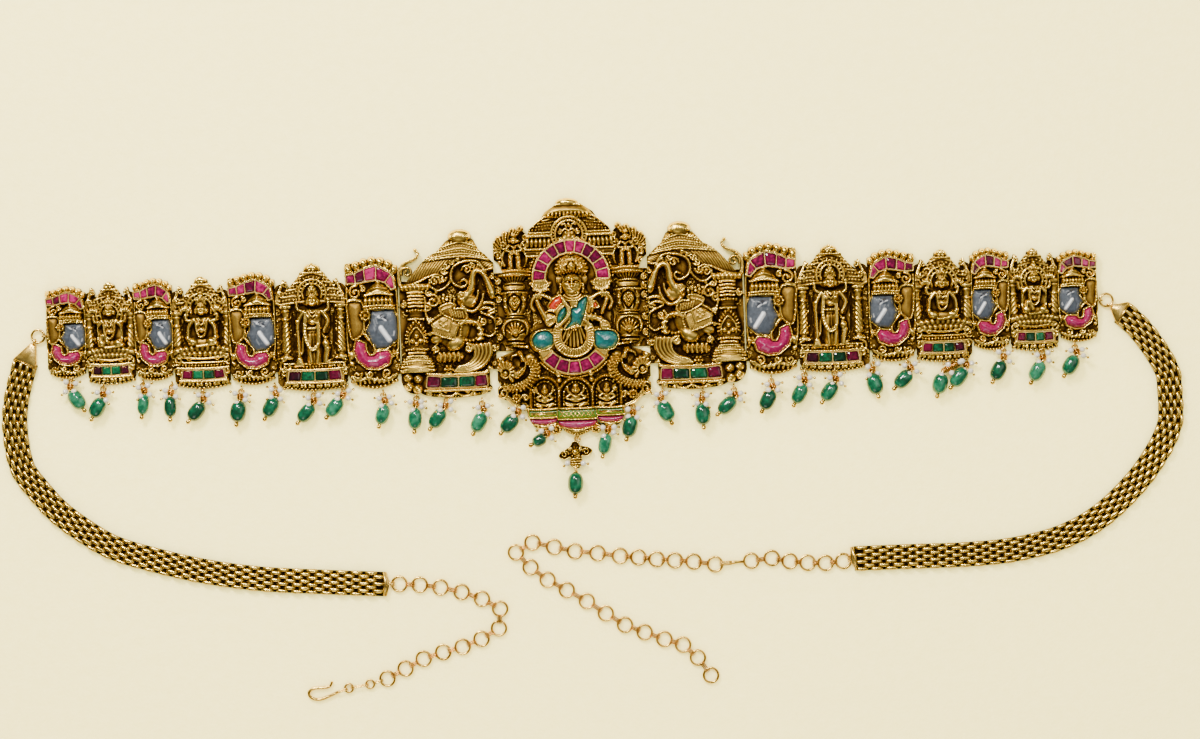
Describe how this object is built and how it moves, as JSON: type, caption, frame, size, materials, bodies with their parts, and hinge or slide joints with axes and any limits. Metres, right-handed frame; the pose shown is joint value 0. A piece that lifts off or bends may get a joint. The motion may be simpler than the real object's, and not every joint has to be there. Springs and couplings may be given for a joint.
{
  "type": "oddiyanam waist belt",
  "caption": "Ornate waist belt: a relief panel with stones, enamel and bead drops, two woven straps and ring chains that close with a hook.",
  "frame": {"origin": "on the back of the centre plate, on its axis", "axes": "+X along the panel, +Y up the panel towards the finial, +Z out of the panel's face"},
  "size_m": [0.3775, 0.1575, 0.0062],
  "materials": {
    "antique_gold": "antique gold plating, dark in its recesses",
    "plain_gold": "antique gold plating, polished",
    "woven_gold": "antique gold plating, dark between the links",
    "grey_enamel": "grey enamel with white brush strokes",
    "pink_enamel": "pink enamel with gold flecks",
    "turquoise_enamel": "turquoise enamel",
    "coral_enamel": "coral enamel",
    "green_enamel": "lime green enamel with gold lines",
    "pink_ruby": "cut pink stone",
    "dark_ruby": "cut dark red stone",
    "emerald": "cut green stone",
    "bead_green": "cloudy green bead"
  },
  "bodies": {
    "root": {"centre_plate": "antique_gold", "yali_plate_left": "antique_gold", "yali_plate_right": "antique_gold", "elephant_plate_left_1": "antique_gold", "elephant_plate_left_2": "antique_gold", "elephant_plate_left_3": "antique_gold", "elephant_plate_left_4": "antique_gold", "elephant_plate_right_1": "antique_gold", "elephant_plate_right_2": "antique_gold", "elephant_plate_right_3": "antique_gold", "elephant_plate_right_4": "antique_gold", "shrine_plate_left_1": "antique_gold", "shrine_plate_left_2": "antique_gold", "shrine_plate_left_3": "antique_gold", "shrine_plate_right_1": "antique_gold", "shrine_plate_right_2": "antique_gold", "shrine_plate_right_3": "antique_gold", "link_wire": "plain_gold", "drop_pins_left": "plain_gold", "drop_pins_right": "plain_gold", "pendant_cap": "antique_gold", "band_left": "woven_gold", "jump_ring_left": "plain_gold", "ring_chain_left": "plain_gold", "band_right": "woven_gold", "jump_ring_right": "plain_gold", "ring_chain_right": "plain_gold", "hook_links": "plain_gold", "hook": "plain_gold", "clasp_link": "plain_gold", "elephant_faces": "grey_enamel", "elephant_trunks": "pink_enamel", "goddess_robe": "turquoise_enamel", "goddess_sleeves": "coral_enamel", "bowl_bands": "green_enamel", "bowl_enamel": "pink_enamel", "crest_rubies_left": "pink_ruby", "crest_rubies_right": "pink_ruby", "halo_rubies": "pink_ruby", "crescent_rubies": "pink_ruby", "base_rubies": "dark_ruby", "base_emeralds": "emerald", "emerald_beads_left": "bead_green", "emerald_beads_right": "bead_green", "pendant_bead": "bead_green"}
  },
  "joints": []
}
